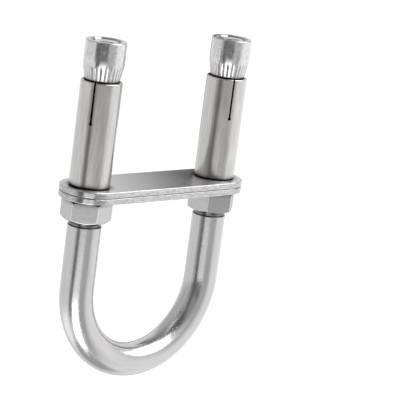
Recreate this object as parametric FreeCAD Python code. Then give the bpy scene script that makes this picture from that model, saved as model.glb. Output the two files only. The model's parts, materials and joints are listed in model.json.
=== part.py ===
import FreeCAD, Part
import math
import os

# A ceiling hook for a hammock: a round-bar U-bolt hung from two expansion anchors.
# The origin is the middle of the upper plate's top face, which meets the ceiling.
# +X runs along the plate to the right leg, and +Z up the legs into the ceiling.
# Lengths are in millimetres and angles in degrees.

# U-bolt, bent from round bar, with a groove and a stud turned on each end
leg_spacing = 49.0
rod_diameter = 10.0
straight_leg = 18.55
shoulder_height = 1.0
shoulder_rounding = 0.12
groove_height = 0.65
groove_depth = 0.55
stud_diameter = 8.0
stud_chamfer = 0.6
stud_recess = 0.35
centre_mark_diameter = 1.8
centre_mark_depth = 0.6

# Two flat plates with full-round ends, one on the other
plate_end_margin = 8.4
plate_width = 18.2
plate_thickness = 1.85
plate_edge_rounding = 0.3
plate_hole_clearance = 0.5

# Hexagon nuts, each with a round collar below that rests on the bar's shoulder
nut_across_flats = 13.0
nut_height = 6.5
nut_chamfer_angle = 30.0
nut_face_inset = 0.3
nut_corner_rounding = 0.3
nut_collar_diameter = 10.0
nut_collar_height = 0.8
nut_collar_rounding = 0.35
nut_lead_in = 0.5
nut_seat_gap = 0.05
left_nut_angle = -133.7
right_nut_angle = -109.4
thread_clearance = 0.05

# Expansion sleeves, slotted from the mouth down
sleeve_length = 30.7
sleeve_wall = 1.5
sleeve_clearance = 0.5
sleeve_mouth_flare = 0.72
sleeve_mouth_rounding = 0.3
sleeve_base_rounding = 0.45
slot_count = 3
slot_width = 0.55
slot_length = 11.8
slot_end_diameter = 0.95
left_slot_angle = -147.7
right_slot_angle = -111.3

# Expansion cones, fluted along the taper so that they bite and don't turn
cone_height = 11.6
cone_entry = 1.8
cone_sleeve_gap = 0.25
cone_taper_angle = 14.0
cone_blend_radius = 22.0
cone_rim_rounding = 0.35
cone_top_inset = 0.08
cone_lead_in = 0.6
flute_count = 36
flute_radius = 1.8
flute_depth = 0.06
flute_angle = 11.0

# Sizes that follow from those above
rod_radius = rod_diameter / 2
stud_radius = stud_diameter / 2
bend_radius = leg_spacing / 2
plate_length = leg_spacing + 2 * plate_end_margin
thread_bore_radius = stud_radius + thread_clearance
sleeve_bore_radius = stud_radius + sleeve_clearance
sleeve_radius = sleeve_bore_radius + sleeve_wall
sleeve_mouth_radius = sleeve_bore_radius + sleeve_mouth_flare
cone_radius = sleeve_radius
cone_slope = math.tan(math.radians(cone_taper_angle))

# Heights along the legs
plates_bottom = -2 * plate_thickness
nut_bottom = plates_bottom - nut_height
collar_bottom = nut_bottom - nut_collar_height
shoulder_top = collar_bottom - nut_seat_gap
groove_bottom = shoulder_top - groove_height
shoulder_bottom = shoulder_top - shoulder_height
bend_height = shoulder_bottom - straight_leg
cone_bottom = sleeve_length - cone_entry
cone_top = sleeve_length + cone_height
stud_top = cone_top - stud_recess

UP = FreeCAD.Vector(0, 0, 1)
LEGS = {
    "left": {"x": -leg_spacing / 2, "nut": left_nut_angle, "slot": left_slot_angle},
    "right": {"x": leg_spacing / 2, "nut": right_nut_angle, "slot": right_slot_angle},
}


def turned(corners):
    """Solid turned about the Z axis from (radius, height, rounding) corners, listed in order."""
    spans = []
    for i, (radius, height, rounding) in enumerate(corners):
        corner = FreeCAD.Vector(radius, 0, height)
        before = FreeCAD.Vector(corners[i - 1][0], 0, corners[i - 1][1]) - corner
        following = corners[(i + 1) % len(corners)]
        after = FreeCAD.Vector(following[0], 0, following[1]) - corner
        if not rounding:
            spans.append((corner, None, corner))
            continue
        half = before.getAngle(after) / 2
        before.normalize()
        after.normalize()
        reach = rounding / math.tan(half)
        middle = before + after
        middle.normalize()
        crown = corner + middle * (rounding / math.sin(half) - rounding)
        spans.append((corner + before * reach, crown, corner + after * reach))
    edges = []
    for i, (start, crown, end) in enumerate(spans):
        if crown:
            edges.append(Part.Arc(start, crown, end).toShape())
        edges.append(Part.LineSegment(end, spans[(i + 1) % len(spans)][0]).toShape())
    return Part.Face(Part.Wire(edges)).revolve(FreeCAD.Vector(), UP, 360)


def at_leg(shape, x, angle=0.0):
    """The shape turned by an angle about its own axis and stood on a leg's axis."""
    placed = shape.copy()
    placed.rotate(FreeCAD.Vector(), UP, angle)
    placed.translate(FreeCAD.Vector(x, 0, 0))
    return placed


def stud():
    """Turned end of the bar: groove, shoulder, stud, end chamfer and the lathe's centre mark."""
    return turned([
        (0, shoulder_bottom, 0),
        (rod_radius, shoulder_bottom, 0),
        (rod_radius, groove_bottom, shoulder_rounding),
        (rod_radius - groove_depth, groove_bottom, 0),
        (rod_radius - groove_depth, shoulder_top, 0),
        (stud_radius, shoulder_top, 0),
        (stud_radius, stud_top - stud_chamfer, 0),
        (stud_radius - stud_chamfer, stud_top, 0),
        (centre_mark_diameter / 2, stud_top, 0),
        (0, stud_top - centre_mark_depth, 0),
    ])


def u_bolt():
    """Round bar along both legs and the bend, with a stud on each end."""
    left, right = -bend_radius, bend_radius
    left_end = FreeCAD.Vector(left, 0, shoulder_bottom)
    left_bend = FreeCAD.Vector(left, 0, bend_height)
    lowest = FreeCAD.Vector(0, 0, bend_height - bend_radius)
    right_bend = FreeCAD.Vector(right, 0, bend_height)
    right_end = FreeCAD.Vector(right, 0, shoulder_bottom)
    path = Part.Wire([
        Part.LineSegment(left_end, left_bend).toShape(),
        Part.Arc(left_bend, lowest, right_bend).toShape(),
        Part.LineSegment(right_bend, right_end).toShape(),
    ])
    section = Part.Wire(Part.Circle(left_end, UP, rod_radius).toShape())
    bar = path.makePipeShell([section], True, True)
    ends = [at_leg(stud(), leg["x"]) for leg in LEGS.values()]
    return bar.fuse(ends).removeSplitter()


def plate(top):
    """Flat bar with full-round ends, softened edges and a hole for each stud."""
    bottom = top - plate_thickness
    half_width = plate_width / 2
    half_straight = (plate_length - plate_width) / 2
    front_left = FreeCAD.Vector(-half_straight, -half_width, bottom)
    front_right = FreeCAD.Vector(half_straight, -half_width, bottom)
    back_right = FreeCAD.Vector(half_straight, half_width, bottom)
    back_left = FreeCAD.Vector(-half_straight, half_width, bottom)
    right_tip = FreeCAD.Vector(plate_length / 2, 0, bottom)
    left_tip = FreeCAD.Vector(-plate_length / 2, 0, bottom)
    outline = Part.Wire([
        Part.LineSegment(front_left, front_right).toShape(),
        Part.Arc(front_right, right_tip, back_right).toShape(),
        Part.LineSegment(back_right, back_left).toShape(),
        Part.Arc(back_left, left_tip, front_left).toShape(),
    ])
    bar = Part.Face(outline).extrude(UP * plate_thickness)
    flat = plate_thickness / 2
    rims = [edge for edge in bar.Edges if edge.BoundBox.ZLength < flat]
    bar = bar.makeFillet(plate_edge_rounding, rims)
    holes = []
    for leg in LEGS.values():
        start = FreeCAD.Vector(leg["x"], 0, bottom)
        holes.append(Part.makeCylinder(stud_radius + plate_hole_clearance, plate_thickness, start))
    return bar.cut(holes)


def nut():
    """Hexagon nut, chamfered on both faces, with a collar and a lead-in at each end of its bore."""
    corner_radius = nut_across_flats / math.sqrt(3)
    face_radius = nut_across_flats / 2 - nut_face_inset
    drop = (corner_radius - face_radius) * math.tan(math.radians(nut_chamfer_angle))
    ring = turned([
        (thread_bore_radius, collar_bottom + nut_lead_in, 0),
        (thread_bore_radius + nut_lead_in, collar_bottom, 0),
        (nut_collar_diameter / 2, collar_bottom, nut_collar_rounding),
        (nut_collar_diameter / 2, nut_bottom, 0),
        (face_radius, nut_bottom, 0),
        (corner_radius, nut_bottom + drop, 0),
        (corner_radius, plates_bottom - drop, 0),
        (face_radius, plates_bottom, 0),
        (thread_bore_radius + nut_lead_in, plates_bottom, 0),
        (thread_bore_radius, plates_bottom - nut_lead_in, 0),
    ])
    corners = []
    for i in range(7):
        angle = math.radians(30 + 60 * i)
        across = FreeCAD.Vector(math.cos(angle), math.sin(angle), 0)
        corners.append(across * corner_radius + UP * collar_bottom)
    prism = Part.Face(Part.makePolygon(corners)).extrude(UP * (plates_bottom - collar_bottom))
    uprights = [edge for edge in prism.Edges if edge.BoundBox.ZLength > nut_height]
    prism = prism.makeFillet(nut_corner_rounding, uprights)
    return prism.common(ring)


def sleeve():
    """Tube with a flared mouth, slotted from the mouth down to a round relief hole."""
    flare_depth = sleeve_mouth_flare / cone_slope
    tube = turned([
        (sleeve_bore_radius, 0, 0),
        (sleeve_radius, 0, sleeve_base_rounding),
        (sleeve_radius, sleeve_length, sleeve_mouth_rounding),
        (sleeve_mouth_radius, sleeve_length, 0),
        (sleeve_bore_radius, sleeve_length - flare_depth, 0),
    ])
    slot_foot = sleeve_length - slot_length
    slot_corner = FreeCAD.Vector(0, -slot_width / 2, slot_foot)
    slot = Part.makeBox(sleeve_radius, slot_width, slot_length, slot_corner)
    outward = FreeCAD.Vector(1, 0, 0)
    relief = Part.makeCylinder(slot_end_diameter / 2, sleeve_radius, UP * slot_foot, outward)
    cutter = slot.fuse(relief)
    return tube.cut([at_leg(cutter, 0, i * 360 / slot_count) for i in range(slot_count)])


def cone():
    """Countersunk plug, its taper set in the sleeve's mouth, with flutes that run out on its barrel."""
    mouth_radius = sleeve_mouth_radius - cone_sleeve_gap
    shoulder = sleeve_length + (cone_radius - mouth_radius) / cone_slope
    plug = turned([
        (thread_bore_radius, cone_bottom, 0),
        (mouth_radius - cone_entry * cone_slope, cone_bottom, 0),
        (cone_radius, shoulder, cone_blend_radius),
        (cone_radius - cone_top_inset, cone_top, cone_rim_rounding),
        (thread_bore_radius + cone_lead_in, cone_top, 0),
        (thread_bore_radius, cone_top - cone_lead_in, 0),
    ])
    tilt = math.radians(flute_angle)
    along = FreeCAD.Vector(math.sin(tilt), 0, math.cos(tilt))
    outward = FreeCAD.Vector(math.cos(tilt), 0, -math.sin(tilt))
    mouth = FreeCAD.Vector(mouth_radius, 0, sleeve_length)
    middle = mouth + outward * (flute_radius - flute_depth)
    reach = cone_entry + flute_radius
    cutter = Part.makeCylinder(flute_radius, reach + cone_height, middle - along * reach, along)
    flutes = [at_leg(cutter, 0, i * 360 / flute_count) for i in range(flute_count)]
    return plug.cut(flutes)


os.makedirs("parts", exist_ok=True)
nodes = {
    "u_bolt": u_bolt(),
    "upper_plate": plate(0),
    "lower_plate": plate(-plate_thickness),
}
for side, leg in LEGS.items():
    nodes[side + "_nut"] = at_leg(nut(), leg["x"], leg["nut"])
    nodes[side + "_sleeve"] = at_leg(sleeve(), leg["x"], leg["slot"])
    nodes[side + "_cone"] = at_leg(cone(), leg["x"])
for name, shape in nodes.items():
    shape.exportStep(os.path.join("parts", name + ".step"))
    print(name, len(shape.Solids), shape.isValid(), round(shape.Volume, 2))
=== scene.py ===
import json
import math

import bmesh
import bpy
from mathutils import Matrix, Vector

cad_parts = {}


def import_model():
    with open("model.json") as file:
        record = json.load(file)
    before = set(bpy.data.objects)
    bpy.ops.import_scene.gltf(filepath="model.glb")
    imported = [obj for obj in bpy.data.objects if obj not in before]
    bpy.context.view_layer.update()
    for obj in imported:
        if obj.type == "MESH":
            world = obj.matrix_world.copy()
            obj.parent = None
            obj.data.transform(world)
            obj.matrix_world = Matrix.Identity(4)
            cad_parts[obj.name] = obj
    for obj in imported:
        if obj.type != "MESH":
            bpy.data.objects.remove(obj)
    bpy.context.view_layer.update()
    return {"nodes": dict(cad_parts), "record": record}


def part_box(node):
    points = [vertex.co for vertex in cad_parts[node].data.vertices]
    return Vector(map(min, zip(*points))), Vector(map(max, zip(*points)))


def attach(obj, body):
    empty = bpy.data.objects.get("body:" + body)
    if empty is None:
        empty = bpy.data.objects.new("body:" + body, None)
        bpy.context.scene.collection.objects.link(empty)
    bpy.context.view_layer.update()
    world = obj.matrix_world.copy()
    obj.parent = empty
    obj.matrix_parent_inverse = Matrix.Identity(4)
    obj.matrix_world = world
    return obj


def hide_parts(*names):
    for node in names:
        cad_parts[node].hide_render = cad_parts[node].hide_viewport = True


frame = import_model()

# A ceiling hook for a hammock, in stainless steel. Lengths are in metres and angles in degrees.

# Camera, as it stood for the photograph
CAMERA_DISTANCE = 0.636152
CAMERA_AZIMUTH = -44.239
CAMERA_ELEVATION = 13.197
CAMERA_ROLL = -7.538
AIM_RIGHT = 0.014418
AIM_HEIGHT = -0.004019
FOCAL_PIXELS = 2162.6
PHOTO_PIXELS = 400
SENSOR_WIDTH = 36.0

# U-bolt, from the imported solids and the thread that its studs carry
NUT_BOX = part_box("left_nut")
BOLT_LOW, BOLT_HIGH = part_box("u_bolt")
LEG_X = -(NUT_BOX[0].x + NUT_BOX[1].x) / 2
ROD_RADIUS = BOLT_HIGH.y
BEND_HEIGHT = BOLT_LOW.z + ROD_RADIUS + LEG_X
COLLAR_BOTTOM = NUT_BOX[0].z
STUD_TOP = BOLT_HIGH.z
STUD_RADIUS = 0.004
STUD_CHAMFER = 0.0006
SEAT_GAP = 0.00005
GROOVE_HEIGHT = 0.00065
GROOVE_DEPTH = 0.00055
SHOULDER_ROUNDING = 0.00012
ROUNDING_STEPS = 4
SUPPORT = 0.0001
MARK_RADIUS = 0.0009
MARK_DEPTH = 0.0006
THREAD_DEPTH = 0.00068
TURN_PER_METRE = frame["record"]["behaviour"]["couplings"][0]["ratio"]
PITCH = 2 * math.pi / TURN_PER_METRE
COLUMNS = 72
BEND_STEPS = 96

# Nuts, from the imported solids; the hexagon's flats face outward at these angles
NUT_ACROSS_FLATS = 0.013
NUT_FACE_INSET = 0.0003
NUT_CORNER = 0.0003
NUT_EDGE = 0.00025
NUT_COLLAR_RADIUS = 0.005
NUT_COLLAR_HEIGHT = 0.0008
NUT_COLLAR_ROUNDING = 0.00035
NUT_BORE = 0.00405
NUT_LEAD_IN = 0.0005
NUT_TURNS = {"left_nut": math.radians(-133.7), "right_nut": math.radians(-109.4)}

# Cones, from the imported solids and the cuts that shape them
CONE_LOW, CONE_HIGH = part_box("left_cone")
CONE_RADIUS = CONE_HIGH.y
MOUTH_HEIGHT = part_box("left_sleeve")[1].z
MOUTH_RADIUS = 0.00497
CONE_BORE = 0.00405
CONE_LEAD_IN = 0.0006
CONE_SLOPE = math.tan(math.radians(14))
CONE_BLEND = 0.022
CONE_RIM = 0.00035
CONE_TOP_INSET = 0.00008
FLUTE_COUNT = 36
FLUTE_COLUMNS = 8
FLUTE_RADIUS = 0.0018
FLUTE_DEPTH = 0.00006
FLUTE_TILT = math.radians(11)
ARC_STEPS = 12
TAPER_STEPS = 24

# Painted shade in the gaps between the pieces
CREVICE_SHADE = (0.05, 0.048, 0.045)
CREVICE_SHADE_REACH = 0.002
CREVICE_SHADE_SAMPLES = 8

# Painted shade along the lines where the cones' flutes meet
CREST_SHADE = (0.22, 0.217, 0.214)

# Painted shade on the cones' level faces, their ends
END_FACE_SHADE = (0.62, 0.615, 0.61)

# Turned collar of a nut, darker than its flats
COLLAR = (0.42, 0.41, 0.4)

# Painted highlight along the corners of a nut
CORNER_HIGHLIGHT = (0.75, 0.745, 0.75)

# Studio
FLOOR_HEIGHT = -0.25
FLOOR_RADIUS = 4.0
SOFTBOX_DISTANCE = 0.7

# Tent round the object: its wall's level, and patches of other levels on it, each with its
# azimuths from the camera, its elevations, its level, the softness of its edges and its lean
TENT_RADIUS = 1.2
TENT_STEP = 1.5
TENT_LEVEL = 0.68
TENT_PATCHES = {
    "lower wall": ((-200, 200), (-78, -5), 0.98, 12, 0),
    "ceiling": ((-200, 200), (60, 100), 0.42, 20, 0),
    "low left": ((-125, -60), (-68, -35), 1.5, 18, 0),
    "right wall": ((75, 165), (-65, 12), 1.2, 25, 0),
    "shade below": ((-200, 200), (-110, -66), 0.55, 14, 0),
    "dark above the camera": ((-52, 30), (-4, 80), 0.45, 10, 0),
    "dark band": ((-50, 26), (-11.5, 5), 0.2, 7, 0),
    "camera": ((-26, 28), (30, 68), 0.17, 14, 0),
    "low glow": ((-27, 23), (-78, -20), 1.9, 14, 0),
    "grey right": ((22, 64), (-60, 4), 0.62, 12, 0),
    "backdrop": ((-165, -125), (-20, 6), 1.0, 12, 0),
    "backdrop edge": ((165, 195), (-40, 6), 0.5, 10, 0),
    "wall behind": ((150, 210), (8, 55), 1.05, 10, 0),
    "gap left of the camera": ((-38, -16), (-45, 30), 0.2, 12, 0.2),
}

# Dark card behind the object: its distance, its foot and top, and its levels from left to right
CARD_DISTANCE = 0.055
CARD_HEIGHTS = (0.003, 0.05)
CARD_LEVELS = ((-0.022, 1.0), (-0.003, 0.6), (0.012, 0.06), (0.018, 0.06))


def new_material(name):
    """A node material with one Principled shader, and that shader's node."""
    material = bpy.data.materials.new(name)
    material.use_nodes = True
    return material, material.node_tree.nodes["Principled BSDF"]


class Nodes:
    """Short calls for the nodes of one material."""

    def __init__(self, material):
        self.tree = material.node_tree
        self.coords = self.add("ShaderNodeTexCoord").outputs["Object"]

    def add(self, kind, **settings):
        node = self.tree.nodes.new(kind)
        for key, value in settings.items():
            setattr(node, key, value)
        return node

    def link(self, source, target):
        self.tree.links.new(source, target)

    def stretched_noise(self, cells, detail=3.0, rough=0.6):
        """Noise with so many cells to the metre along X, Y and Z."""
        mapping = self.add("ShaderNodeMapping")
        mapping.inputs["Scale"].default_value = cells
        self.link(self.coords, mapping.inputs["Vector"])
        noise = self.add("ShaderNodeTexNoise")
        noise.inputs["Scale"].default_value = 1.0
        noise.inputs["Detail"].default_value = detail
        noise.inputs["Roughness"].default_value = rough
        self.link(mapping.outputs["Vector"], noise.inputs["Vector"])
        return noise.outputs["Fac"]

    def ranged(self, value, low, high, start=0.3, end=0.7):
        """The value's span from start to end, spread over low to high."""
        node = self.add("ShaderNodeMapRange")
        node.inputs["From Min"].default_value = start
        node.inputs["From Max"].default_value = end
        node.inputs["To Min"].default_value = low
        node.inputs["To Max"].default_value = high
        self.link(value, node.inputs["Value"])
        return node.outputs["Result"]

    def tinted(self, value, dark, light, start=0.3, end=0.7):
        """A colour between dark and light."""
        ramp = self.add("ShaderNodeValToRGB")
        ramp.color_ramp.elements[0].position = start
        ramp.color_ramp.elements[0].color = (*dark, 1)
        ramp.color_ramp.elements[1].position = end
        ramp.color_ramp.elements[1].color = (*light, 1)
        self.link(value, ramp.inputs["Fac"])
        return ramp.outputs["Color"]

    def bump(self, value, height, normal=None):
        node = self.add("ShaderNodeBump")
        node.inputs["Distance"].default_value = height
        self.link(value, node.inputs["Height"])
        if normal:
            self.link(normal, node.inputs["Normal"])
        return node.outputs["Normal"]

    def across(self, x, y, z):
        """Direction on the surface at right angles to lines that run along an axis."""
        normal = self.add("ShaderNodeNewGeometry").outputs["Normal"]
        cross = self.add("ShaderNodeVectorMath", operation="CROSS_PRODUCT")
        cross.inputs[1].default_value = (x, y, z)
        self.link(normal, cross.inputs[0])
        return cross.outputs["Vector"]

    def fixed(self, x, y, z):
        node = self.add("ShaderNodeCombineXYZ")
        for socket, value in zip(node.inputs, (x, y, z)):
            socket.default_value = value
        return node.outputs["Vector"]

    def crevice_shaded(self, colour):
        """The colour, darkened with painted shade where narrow gaps and recesses hide it, found by ambient
        occlusion.
        """
        crevice = self.add("ShaderNodeAmbientOcclusion", samples=CREVICE_SHADE_SAMPLES)
        crevice.inputs["Distance"].default_value = CREVICE_SHADE_REACH
        return self.darkened(colour, self.tinted(crevice.outputs["AO"], CREVICE_SHADE, (1, 1, 1), 0.45, 0.97))

    def upright(self):
        """1 on upright faces and 0 on level ones."""
        normal = self.add("ShaderNodeNewGeometry").outputs["Normal"]
        parts = self.add("ShaderNodeSeparateXYZ")
        self.link(normal, parts.inputs["Vector"])
        size = self.add("ShaderNodeMath", operation="ABSOLUTE")
        self.link(parts.outputs["Z"], size.inputs[0])
        return self.ranged(size.outputs["Value"], 1, 0, 0.3, 0.9)

    def mixed(self, first, second, share):
        mix = self.add("ShaderNodeMix", data_type="RGBA")
        self.link(share, mix.inputs["Factor"])
        self.link(first, mix.inputs["A"])
        self.link(second, mix.inputs["B"])
        return mix.outputs["Result"]

    def darkened(self, colour, shade):
        mix = self.add("ShaderNodeMix", data_type="RGBA", blend_type="MULTIPLY")
        mix.inputs["Factor"].default_value = 1.0
        self.link(colour, mix.inputs["A"])
        self.link(shade, mix.inputs["B"])
        return mix.outputs["Result"]


def polished_bar():
    """Drawn and polished round bar: nearly a mirror, with faint pits and draw lines."""
    material, shader = new_material("polished_bar")
    n = Nodes(material)
    n.coords = n.add("ShaderNodeAttribute", attribute_name="along_bar").outputs["Vector"]
    shader.inputs["Metallic"].default_value = 1.0
    haze = n.stretched_noise((700, 700, 110))
    pits = n.stretched_noise((2200, 2200, 2200), detail=2.0)
    steel = n.tinted(haze, (0.52, 0.51, 0.513), (0.58, 0.569, 0.573))
    n.link(n.crevice_shaded(steel), shader.inputs["Base Color"])
    n.link(n.ranged(haze, 0.15, 0.2), shader.inputs["Roughness"])
    waves = n.bump(haze, 0.000001)
    n.link(n.bump(n.ranged(pits, 0, 1, 0.25, 0.45), 0.00002, waves), shader.inputs["Normal"])
    return material


def brushed_plate():
    """Flat bar, brushed lengthwise, with sheared edges that are duller and mottled."""
    material, shader = new_material("plate_steel")
    n = Nodes(material)
    shader.inputs["Metallic"].default_value = 1.0
    shader.inputs["Anisotropic"].default_value = 1.0
    lines = n.stretched_noise((60, 9000, 9000), detail=4.0)
    steel = n.tinted(lines, (0.525, 0.516, 0.52), (0.63, 0.62, 0.625))
    spots = n.stretched_noise((700, 700, 2500), detail=4.0)
    mottle = n.tinted(spots, (0.74, 0.74, 0.74), (0.97, 0.97, 0.97), 0.4, 0.6)
    steel = n.mixed(steel, n.darkened(steel, mottle), n.upright())
    n.link(n.crevice_shaded(steel), shader.inputs["Base Color"])
    n.link(n.ranged(lines, 0.2, 0.26), shader.inputs["Roughness"])
    n.link(n.across(1, 0, 0), shader.inputs["Tangent"])
    n.link(n.bump(lines, 0.000002), shader.inputs["Normal"])
    return material


def formed_nut():
    """Cold-formed nut: bright, with a faintly uneven skin and fine marks."""
    material, shader = new_material("nut_steel")
    n = Nodes(material)
    shader.inputs["Metallic"].default_value = 1.0
    skin = n.stretched_noise((420, 420, 420))
    marks = n.stretched_noise((900, 900, 5200), detail=4.0)
    steel = n.tinted(marks, (0.47, 0.463, 0.468), (0.56, 0.552, 0.557))
    # The collar is darker than the flats.
    darker_collar = n.add("ShaderNodeAttribute", attribute_name="darker_collar").outputs["Fac"]
    steel = n.darkened(steel, n.tinted(darker_collar, (1, 1, 1), COLLAR, 0, 1))
    # Painted highlight along the nut's corners.
    corner_highlight = n.add("ShaderNodeAttribute", attribute_name="corner_highlight").outputs["Fac"]
    steel = n.mixed(steel, n.tinted(marks, CORNER_HIGHLIGHT, (0.9, 0.9, 0.9)), corner_highlight)
    n.link(n.crevice_shaded(steel), shader.inputs["Base Color"])
    n.link(n.ranged(skin, 0.16, 0.26), shader.inputs["Roughness"])
    n.link(n.bump(marks, 0.000002, n.bump(skin, 0.00002)), shader.inputs["Normal"])
    return material


def turned_sleeve():
    """Tube with a satin finish: drawn streaks along it, and fine turned lines that run round."""
    material, shader = new_material("sleeve_steel")
    n = Nodes(material)
    shader.inputs["Metallic"].default_value = 1.0
    shader.inputs["Anisotropic"].default_value = 0.5
    lines = n.stretched_noise((120, 120, 9000), detail=3.0)
    cloud = n.stretched_noise((1200, 1200, 160))
    steel = n.tinted(cloud, (0.51, 0.5, 0.488), (0.63, 0.62, 0.606))
    n.link(n.crevice_shaded(steel), shader.inputs["Base Color"])
    n.link(n.ranged(lines, 0.2, 0.26), shader.inputs["Roughness"])
    n.link(n.fixed(0, 0, 1), shader.inputs["Tangent"])
    n.link(n.bump(lines, 0.000001), shader.inputs["Normal"])
    return material


def bright_cone():
    """Bright cone with rolled flutes."""
    material, shader = new_material("cone_steel")
    n = Nodes(material)
    shader.inputs["Metallic"].default_value = 1.0
    cloud = n.stretched_noise((1500, 1500, 800))
    steel = n.tinted(cloud, (0.54, 0.53, 0.534), (0.78, 0.766, 0.772))
    # Painted shade along the flutes' crests.
    crest = n.add("ShaderNodeAttribute", attribute_name="crest").outputs["Fac"]
    steel = n.darkened(steel, n.tinted(crest, (1, 1, 1), CREST_SHADE, 0, 1))
    # Painted shade on the level faces.
    steel = n.darkened(steel, n.tinted(n.upright(), END_FACE_SHADE, (1, 1, 1), 0, 1))
    n.link(n.crevice_shaded(steel), shader.inputs["Base Color"])
    n.link(n.ranged(cloud, 0.1, 0.2), shader.inputs["Roughness"])
    n.link(n.bump(cloud, 0.000004), shader.inputs["Normal"])
    return material


def leg_ring(x, outward, height, radius):
    """Points of a level ring round a leg; the first points outward, and they run on by angle."""
    ring = []
    for k in range(COLUMNS):
        angle = 2 * math.pi * k / COLUMNS
        ring.append(Vector((x + outward * radius * math.cos(angle), radius * math.sin(angle), height)))
    return ring


def bend_ring(turn):
    """Ring of the bar in the bend, at an angle from the left leg's end."""
    outward = Vector((-math.cos(turn), 0, -math.sin(turn)))
    centre = Vector((0, 0, BEND_HEIGHT)) + outward * LEG_X
    ring = []
    for k in range(COLUMNS):
        angle = 2 * math.pi * k / COLUMNS
        across = Vector((0, math.sin(angle), 0))
        ring.append(centre + (outward * math.cos(angle) + across) * ROD_RADIUS)
    return ring


def thread_depth(phase):
    """Depth of the thread at a place along its pitch, from 0 on the crest to 1 in the root."""
    for start, end, first, last in ((0, 0.1, 0, 0), (0.1, 0.44, 0, 1), (0.44, 0.66, 1, 1), (0.66, 1, 1, 0)):
        if phase <= end:
            return first + (last - first) * (phase - start) / (end - start)
    return 0


def add_rings(mesh, rings):
    """Joins a list of rings, each a list of points, into a skin, and returns their vertices."""
    made = [[mesh.verts.new(point) for point in ring] for ring in rings]
    join_rings(mesh, made)
    return made


def join_rings(mesh, rings):
    """Joins rings of vertices into a skin."""
    for lower, upper in zip(rings, rings[1:]):
        for k in range(len(lower)):
            after = (k + 1) % len(lower)
            mesh.faces.new((lower[k], lower[after], upper[after], upper[k]))


def threaded_u_bolt():
    """The bent bar with a thread on both of its studs."""
    shoulder_top = COLLAR_BOTTOM - SEAT_GAP
    shoulder_bottom = shoulder_top - GROOVE_HEIGHT - SHOULDER_ROUNDING
    mesh = bmesh.new()
    ends = (shoulder_bottom, shoulder_bottom - SUPPORT)
    rings = [leg_ring(-LEG_X, -1, height, ROD_RADIUS) for height in ends]
    rings += [bend_ring(math.pi * i / BEND_STEPS) for i in range(BEND_STEPS + 1)]
    rings += [leg_ring(LEG_X, 1, height, ROD_RADIUS) for height in reversed(ends)]
    skin = add_rings(mesh, rings)
    for x, outward, start in ((-LEG_X, -1, skin[0]), (LEG_X, 1, skin[-1])):
        add_stud(mesh, x, outward, start, shoulder_top)
    bmesh.ops.remove_doubles(mesh, verts=mesh.verts, dist=0.0000005)
    bmesh.ops.dissolve_degenerate(mesh, edges=mesh.edges, dist=0.0000005)
    bar = finished(mesh, "threaded_u_bolt")
    places = bar.data.attributes.new("along_bar", "FLOAT_VECTOR", "POINT")
    for vertex, place in zip(bar.data.vertices, places.data):
        place.vector = along_bar(vertex.co)
    return bar


def along_bar(point):
    """Place of a point as if the bar were straight: outward from the loop, across and along it."""
    height = point.z - BEND_HEIGHT
    if height > 0:
        along = height + LEG_X * math.pi / 2
        return abs(point.x), point.y, math.copysign(along, point.x)
    turn = math.atan2(point.x, -height)
    return math.hypot(point.x, height), point.y, turn * LEG_X


def add_stud(mesh, x, outward, start, shoulder_top):
    """Shoulder, threaded stud, chamfer and centre mark above a ring of the bar."""
    steps = 8
    thread_bottom = shoulder_top
    thread_top = STUD_TOP - STUD_CHAMFER
    turns = math.ceil((thread_top - thread_bottom) / PITCH) + 1
    angles = [2 * math.pi * k / COLUMNS for k in range(COLUMNS)]
    shares = [(angle if outward > 0 else math.pi - angle) / (2 * math.pi) % 1 for angle in angles]
    rows = []
    for i in range(-steps, turns * steps + 1):
        row = []
        for angle, share in zip(angles, shares):
            height = thread_bottom + PITCH * (i / steps + share)
            height = min(max(height, thread_bottom), thread_top)
            runout = min((height - thread_bottom) / (PITCH / 3), (thread_top - height) / (PITCH / 4), 1)
            radius = STUD_RADIUS - THREAD_DEPTH * thread_depth((i / steps) % 1) * runout
            across = Vector((outward * math.cos(angle), math.sin(angle), 0))
            row.append(mesh.verts.new(Vector((x, 0, height)) + across * radius))
        rows.append(row)
    last = len(rows) - 1
    for i in range(last):
        for k in range(COLUMNS):
            after = (k + 1) % COLUMNS
            jump = shares[after] - shares[k]
            shift = 0 if abs(jump) < 0.5 else (steps if jump < 0 else -steps)
            near, far = min(max(i + shift, 0), last), min(max(i + 1 + shift, 0), last)
            corners = (rows[i][k], rows[near][after], rows[far][after], rows[i + 1][k])
            if len(set(corners)) > 2:
                mesh.faces.new(dict.fromkeys(corners))
    bottom, top = rows[0], rows[-1]
    groove_bottom = shoulder_top - GROOVE_HEIGHT
    profile = []
    for i in range(1, ROUNDING_STEPS + 1):
        turn = math.pi / 2 * i / ROUNDING_STEPS
        radius = ROD_RADIUS - SHOULDER_ROUNDING * (1 - math.cos(turn))
        profile.append((radius, groove_bottom - SHOULDER_ROUNDING * (1 - math.sin(turn))))
    profile.append((ROD_RADIUS - GROOVE_DEPTH, groove_bottom))
    profile.append((ROD_RADIUS - GROOVE_DEPTH, shoulder_top))
    shoulder = [start]
    for radius, height in profile:
        ring = leg_ring(x, outward, height, radius)
        shoulder.append([mesh.verts.new(point) for point in ring])
    shoulder.append(bottom)
    join_rings(mesh, shoulder)
    caps = [
        leg_ring(x, outward, STUD_TOP, STUD_RADIUS - STUD_CHAMFER),
        leg_ring(x, outward, STUD_TOP, MARK_RADIUS),
    ]
    made = [top] + [[mesh.verts.new(point) for point in ring] for ring in caps]
    join_rings(mesh, made)
    tip = mesh.verts.new(Vector((x, 0, STUD_TOP - MARK_DEPTH)))
    for k in range(COLUMNS):
        mesh.faces.new((made[-1][k], made[-1][(k + 1) % COLUMNS], tip))


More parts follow.
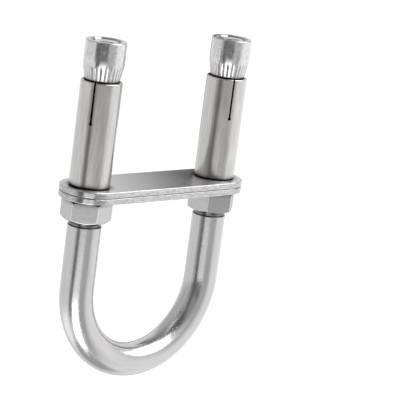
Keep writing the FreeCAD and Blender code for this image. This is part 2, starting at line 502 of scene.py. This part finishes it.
def cone_profile():
    """Section of a cone as (radius, height) points, from the foot of its bore round to the bore's top."""
    bottom, top = CONE_LOW.z, CONE_HIGH.z
    shoulder = MOUTH_HEIGHT + (CONE_RADIUS - MOUTH_RADIUS) / CONE_SLOPE
    corners = [
        (CONE_BORE, bottom, 0),
        (MOUTH_RADIUS - (MOUTH_HEIGHT - bottom) * CONE_SLOPE, bottom, 0),
        (CONE_RADIUS, shoulder, CONE_BLEND),
        (CONE_RADIUS - CONE_TOP_INSET, top, CONE_RIM),
        (CONE_BORE + CONE_LEAD_IN, top, 0),
        (CONE_BORE, top - CONE_LEAD_IN, 0),
    ]
    points = rounded(corners, ARC_STEPS, SUPPORT)
    foot = points[1]
    taper = [foot.lerp(points[2], k / TAPER_STEPS) for k in range(1, TAPER_STEPS)]
    return points[:2] + taper + points[2:]


def rounded(corners, steps, support):
    """Points of a section with (radius, height, rounding) corners, and a point close to each arc's ends."""
    points = []
    for i, (radius, height, rounding) in enumerate(corners):
        corner = Vector((radius, height))
        if not rounding:
            points.append(corner)
            continue
        before = (Vector(corners[i - 1][:2]) - corner).normalized()
        after = (Vector(corners[i + 1][:2]) - corner).normalized()
        half = before.angle(after) / 2
        centre = corner + (before + after).normalized() * rounding / math.sin(half)
        start = corner + before * rounding / math.tan(half) - centre
        end = corner + after * rounding / math.tan(half) - centre
        points.append(centre + start + before * support)
        for k in range(steps + 1):
            points.append(centre + start.lerp(end, k / steps).normalized() * rounding)
        points.append(centre + end + after * support)
    return points


def hexagon():
    """Angles and radii round a nut's rounded hexagon, from the middle of one flat."""
    flat = NUT_ACROSS_FLATS / 2
    centre = (flat - NUT_CORNER) / math.cos(math.pi / 6)
    limit = math.atan((flat - NUT_CORNER) * math.tan(math.pi / 6) / flat)
    half = [(limit * share, flat / math.cos(limit * share)) for share in (0, 0.3, 0.6, 0.8, 0.94)]
    for i in range(ROUNDING_STEPS + 1):
        angle = limit + (math.pi / 6 - limit) * i / ROUNDING_STEPS
        aside = math.pi / 6 - angle
        reach = centre * math.cos(aside)
        half.append((angle, reach + math.sqrt(NUT_CORNER ** 2 - (centre * math.sin(aside)) ** 2)))
    side = half + [(math.pi / 3 - angle, radius) for angle, radius in reversed(half[1:-1])]
    return [(angle + math.pi / 3 * i, radius) for i in range(6) for angle, radius in side]


def rounded_nut(name, box, turn):
    """Hexagon nut with soft edges, its collar marked darker and its corners marked for a painted highlight.
    """
    x = (box[0].x + box[1].x) / 2
    low, high = box[0].z, box[1].z
    bottom = low + NUT_COLLAR_HEIGHT
    face = NUT_ACROSS_FLATS / 2 - NUT_FACE_INSET
    columns = []
    for angle, radius in hexagon():
        drop = (radius - face) * math.tan(math.radians(30))
        section = rounded([
            (NUT_BORE, low + NUT_LEAD_IN, 0),
            (NUT_BORE + NUT_LEAD_IN, low, 0),
            (NUT_COLLAR_RADIUS, low, NUT_COLLAR_ROUNDING),
            (NUT_COLLAR_RADIUS, bottom, 0),
            (face, bottom, 0),
            (radius, bottom + drop, NUT_EDGE),
            (radius, high - drop, NUT_EDGE),
            (face, high, 0),
            (NUT_BORE + NUT_LEAD_IN, high, 0),
            (NUT_BORE, high - NUT_LEAD_IN, 0),
        ], ROUNDING_STEPS, SUPPORT / 4)
        across = Vector((math.cos(angle + turn), math.sin(angle + turn), 0))
        columns.append([Vector((x, 0, height)) + across * reach for reach, height in section])
    mesh = bmesh.new()
    skin = add_rings(mesh, list(zip(*columns)))
    join_rings(mesh, [skin[-1], skin[0]])
    corner = NUT_ACROSS_FLATS / math.sqrt(3) - NUT_CORNER / 4
    darker_collar, corner_highlight = [], []
    for ring in skin:
        for point in ring:
            darker_collar.append(float(point.co.z < bottom - SUPPORT / 2))
            # Points on the corners are marked for the painted highlight.
            corner_highlight.append(float(math.hypot(point.co.x - x, point.co.y) > corner))
    nut = finished(mesh, name)
    nut.data.attributes.new("darker_collar", "FLOAT", "POINT").data.foreach_set("value", darker_collar)
    nut.data.attributes.new("corner_highlight", "FLOAT", "POINT").data.foreach_set("value", corner_highlight)
    return nut


def flute_radius(radius, height, aside):
    """Radius of a flute's floor at a height, at an angle aside from the flute's middle."""
    across = radius * math.sin(aside)
    drop = math.sqrt(FLUTE_RADIUS ** 2 - across ** 2)
    middle = MOUTH_RADIUS + (FLUTE_RADIUS - FLUTE_DEPTH) * math.cos(FLUTE_TILT)
    rise = height - MOUTH_HEIGHT + (FLUTE_RADIUS - FLUTE_DEPTH) * math.sin(FLUTE_TILT)
    return (middle + (rise * math.sin(FLUTE_TILT) - drop) / math.cos(FLUTE_TILT)) / math.cos(aside)


def fluted_cone(name, x):
    """Cone on a leg, its flutes cut along the taper and running out on the barrel."""
    columns = FLUTE_COUNT * FLUTE_COLUMNS
    rings, crest_shade_marks = [], []
    for radius, height in cone_profile():
        ring = []
        for k in range(columns):
            angle = 2 * math.pi * k / columns
            share = (k % FLUTE_COLUMNS) / FLUTE_COLUMNS
            aside = 2 * math.pi / FLUTE_COUNT * (share if share <= 0.5 else share - 1)
            cut = 0
            if radius > CONE_BORE:
                cut = max(radius - flute_radius(radius, height, aside), 0)
            reach = radius - cut
            # Crests of the cut flutes are marked for painted shade.
            crest_shade_marks.append(float(cut > 0 and 2 * (k % FLUTE_COLUMNS) == FLUTE_COLUMNS))
            ring.append(Vector((x + reach * math.cos(angle), reach * math.sin(angle), height)))
        rings.append(ring)
    mesh = bmesh.new()
    skin = add_rings(mesh, rings)
    join_rings(mesh, [skin[-1], skin[0]])
    cone = finished(mesh, name)
    cone.data.attributes.new("crest", "FLOAT", "POINT").data.foreach_set("value", crest_shade_marks)
    return cone


def finished(mesh, name):
    """Object made of a mesh, with its normals turned outward and its edges smoothed by angle."""
    bmesh.ops.recalc_face_normals(mesh, faces=mesh.faces)
    data = bpy.data.meshes.new(name)
    mesh.to_mesh(data)
    mesh.free()
    piece = bpy.data.objects.new(name, data)
    bpy.context.scene.collection.objects.link(piece)
    smooth_by_angle(piece, 35)
    return piece


def smooth_by_angle(piece, degrees):
    """Smooth shading, with edges sharper than an angle left crisp."""
    mesh = bmesh.new()
    mesh.from_mesh(piece.data)
    limit = math.radians(degrees)
    for face in mesh.faces:
        face.smooth = True
    for edge in mesh.edges:
        edge.smooth = len(edge.link_faces) == 2 and edge.calc_face_angle(0) < limit
    mesh.to_mesh(piece.data)
    mesh.free()


def dress(materials):
    """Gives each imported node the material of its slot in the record."""
    for part in frame["record"]["subparts"]:
        node = frame["nodes"][part["node"]]
        for slot in node.material_slots:
            slot.material = materials[part["material_slot"]]


def stand_in(piece, node, slot, body):
    """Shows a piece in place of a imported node, on the node's body and in its material."""
    piece.data.materials.append(materials[slot])
    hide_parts(node)
    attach(piece, body)


def towards(azimuth, elevation):
    """Direction from the object at angles counted from the camera's own azimuth."""
    a = math.radians(CAMERA_AZIMUTH + azimuth)
    e = math.radians(elevation)
    return Vector((math.sin(a) * math.cos(e), -math.cos(a) * math.cos(e), math.sin(e)))


def level_material(name):
    """Light or shade of a studio piece, stored on its points."""
    material = bpy.data.materials.new(name)
    material.use_nodes = True
    tree = material.node_tree
    tree.nodes.clear()
    level = tree.nodes.new("ShaderNodeAttribute")
    level.attribute_name = "level"
    emission = tree.nodes.new("ShaderNodeEmission")
    output = tree.nodes.new("ShaderNodeOutputMaterial")
    tree.links.new(level.outputs["Fac"], emission.inputs["Strength"])
    tree.links.new(emission.outputs["Emission"], output.inputs["Surface"])
    return material


def soft_step(value):
    """0 below -0.5 and 1 above 0.5, with a smooth rise between."""
    share = min(max(value + 0.5, 0), 1)
    return share * share * (3 - 2 * share)


def tent_level(azimuth, elevation):
    """Brightness of the tent's wall in one direction."""
    level = TENT_LEVEL
    for (left, right), (low, high), patch_level, softness, lean in TENT_PATCHES.values():
        middle = (left + right) / 2 + lean * elevation
        aside = (azimuth - middle + 180) % 360 - 180
        weight = soft_step((elevation - low) / softness) * soft_step((high - elevation) / softness)
        weight *= soft_step(((right - left) / 2 - abs(aside)) / softness)
        level += (patch_level - level) * weight
    return level


def tent():
    """Tent that only the bright metal mirrors."""
    points, levels, faces = [], [], []
    across, around = round(180 / TENT_STEP), round(360 / TENT_STEP)
    for j in range(across + 1):
        for i in range(around):
            azimuth, elevation = i * TENT_STEP - 180, j * TENT_STEP - 90
            points.append(towards(azimuth, elevation) * TENT_RADIUS)
            levels.append(tent_level(azimuth, elevation))
    for j in range(across):
        for i in range(around):
            after = (i + 1) % around
            lower, upper = j * around, (j + 1) * around
            faces.append((lower + i, lower + after, upper + after, upper + i))
    backdrop("tent", points, faces, levels)


def dark_card():
    """Card behind the object, shaded from one side to the other, that only the bright metal mirrors."""
    side = towards(90, 0)
    back = towards(180, 0) * CARD_DISTANCE
    points, levels, faces = [], [], []
    for aside, level in CARD_LEVELS:
        for height in CARD_HEIGHTS:
            points.append(back + side * aside + Vector((0, 0, height)))
            levels.append(level)
    for i in range(len(CARD_LEVELS) - 1):
        faces.append((2 * i, 2 * i + 2, 2 * i + 3, 2 * i + 1))
    backdrop("dark_card", points, faces, levels)


def backdrop(name, points, faces, levels):
    """Studio piece with a level of light on each of its points, unseen by the camera."""
    data = bpy.data.meshes.new(name)
    data.from_pydata(points, [], faces)
    data.attributes.new("level", "FLOAT", "POINT").data.foreach_set("value", levels)
    data.materials.append(level_material(name))
    made = bpy.data.objects.new(name, data)
    bpy.context.scene.collection.objects.link(made)
    made.visible_camera = False
    made.visible_diffuse = False
    made.visible_shadow = False


def softbox(name, azimuth, elevation, width, height, level):
    """Soft lamp that faces the object and that the metal mirrors at a level of brightness."""
    lamp = bpy.data.lights.new(name, "AREA")
    lamp.shape = "RECTANGLE"
    lamp.size = width
    lamp.size_y = height
    lamp.energy = level * math.pi * width * height
    made = bpy.data.objects.new(name, lamp)
    bpy.context.scene.collection.objects.link(made)
    direction = towards(azimuth, elevation)
    made.location = direction * SOFTBOX_DISTANCE
    made.rotation_euler = (-direction).to_track_quat("-Z", "Y").to_euler()
    made.visible_camera = False


def world():
    """White surroundings, which the camera and the metal see at full strength."""
    made = bpy.data.worlds.new("studio")
    bpy.context.scene.world = made
    made.use_nodes = True
    tree = made.node_tree
    white = tree.nodes["Background"]
    white.inputs["Color"].default_value = (1, 1, 1, 1)
    white.inputs["Strength"].default_value = 1.0
    soft = tree.nodes.new("ShaderNodeBackground")
    soft.inputs["Color"].default_value = (1, 1, 1, 1)
    soft.inputs["Strength"].default_value = 0.8
    path = tree.nodes.new("ShaderNodeLightPath")
    seen = tree.nodes.new("ShaderNodeMath")
    seen.operation = "MAXIMUM"
    tree.links.new(path.outputs["Is Camera Ray"], seen.inputs[0])
    tree.links.new(path.outputs["Is Glossy Ray"], seen.inputs[1])
    mix = tree.nodes.new("ShaderNodeMixShader")
    tree.links.new(seen.outputs["Value"], mix.inputs["Fac"])
    tree.links.new(soft.outputs["Background"], mix.inputs[1])
    tree.links.new(white.outputs["Background"], mix.inputs[2])
    tree.links.new(mix.outputs["Shader"], tree.nodes["World Output"].inputs["Surface"])


def floor():
    """Pale floor well below the hanging hook; it takes its shadow."""
    bpy.ops.mesh.primitive_circle_add(vertices=96, radius=FLOOR_RADIUS, fill_type="NGON")
    ground = bpy.context.object
    ground.name = "floor"
    ground.location.z = FLOOR_HEIGHT
    material, shader = new_material("floor")
    shader.inputs["Base Color"].default_value = (0.93, 0.93, 0.93, 1)
    shader.inputs["Roughness"].default_value = 0.9
    shader.inputs["Specular IOR Level"].default_value = 0.0
    shader.inputs["Emission Color"].default_value = (1, 1, 1, 1)
    shader.inputs["Emission Strength"].default_value = 0.3
    ground.data.materials.append(material)
    ground.visible_glossy = False


def camera():
    """Camera with the photograph's place, roll and angle of view."""
    data = bpy.data.cameras.new("camera")
    data.sensor_width = SENSOR_WIDTH
    data.lens = FOCAL_PIXELS / PHOTO_PIXELS * SENSOR_WIDTH
    made = bpy.data.objects.new("camera", data)
    bpy.context.scene.collection.objects.link(made)
    back = towards(0, CAMERA_ELEVATION)
    level = Vector((0, 0, 1)).cross(back).normalized()
    upright = back.cross(level)
    roll = math.radians(CAMERA_ROLL)
    right = level * math.cos(roll) - upright * math.sin(roll)
    up = level * math.sin(roll) + upright * math.cos(roll)
    aim = Vector((0, 0, AIM_HEIGHT)) + level * AIM_RIGHT
    place = Matrix.Translation(aim + back * CAMERA_DISTANCE)
    made.matrix_world = place @ Matrix((right, up, back)).transposed().to_4x4()
    bpy.context.scene.camera = made


materials = {
    "polished_bar": polished_bar(),
    "plate_steel": brushed_plate(),
    "nut_steel": formed_nut(),
    "sleeve_steel": turned_sleeve(),
    "cone_steel": bright_cone(),
}
dress(materials)
stand_in(threaded_u_bolt(), "u_bolt", "polished_bar", "bolt")
for node, x in (("left_cone", -LEG_X), ("right_cone", LEG_X)):
    stand_in(fluted_cone("fluted_" + node, x), node, "cone_steel", "bolt")
for node, turn in NUT_TURNS.items():
    stand_in(rounded_nut("rounded_" + node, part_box(node), turn), node, "nut_steel", node)
tent()
dark_card()
softbox("low_softbox", -2, -50, 0.4, 0.5, 2.0)
softbox("high_softbox", 88, 45, 0.74, 0.65, 2.5)
world()
floor()
camera()
bpy.context.scene.view_settings.view_transform = "Standard"
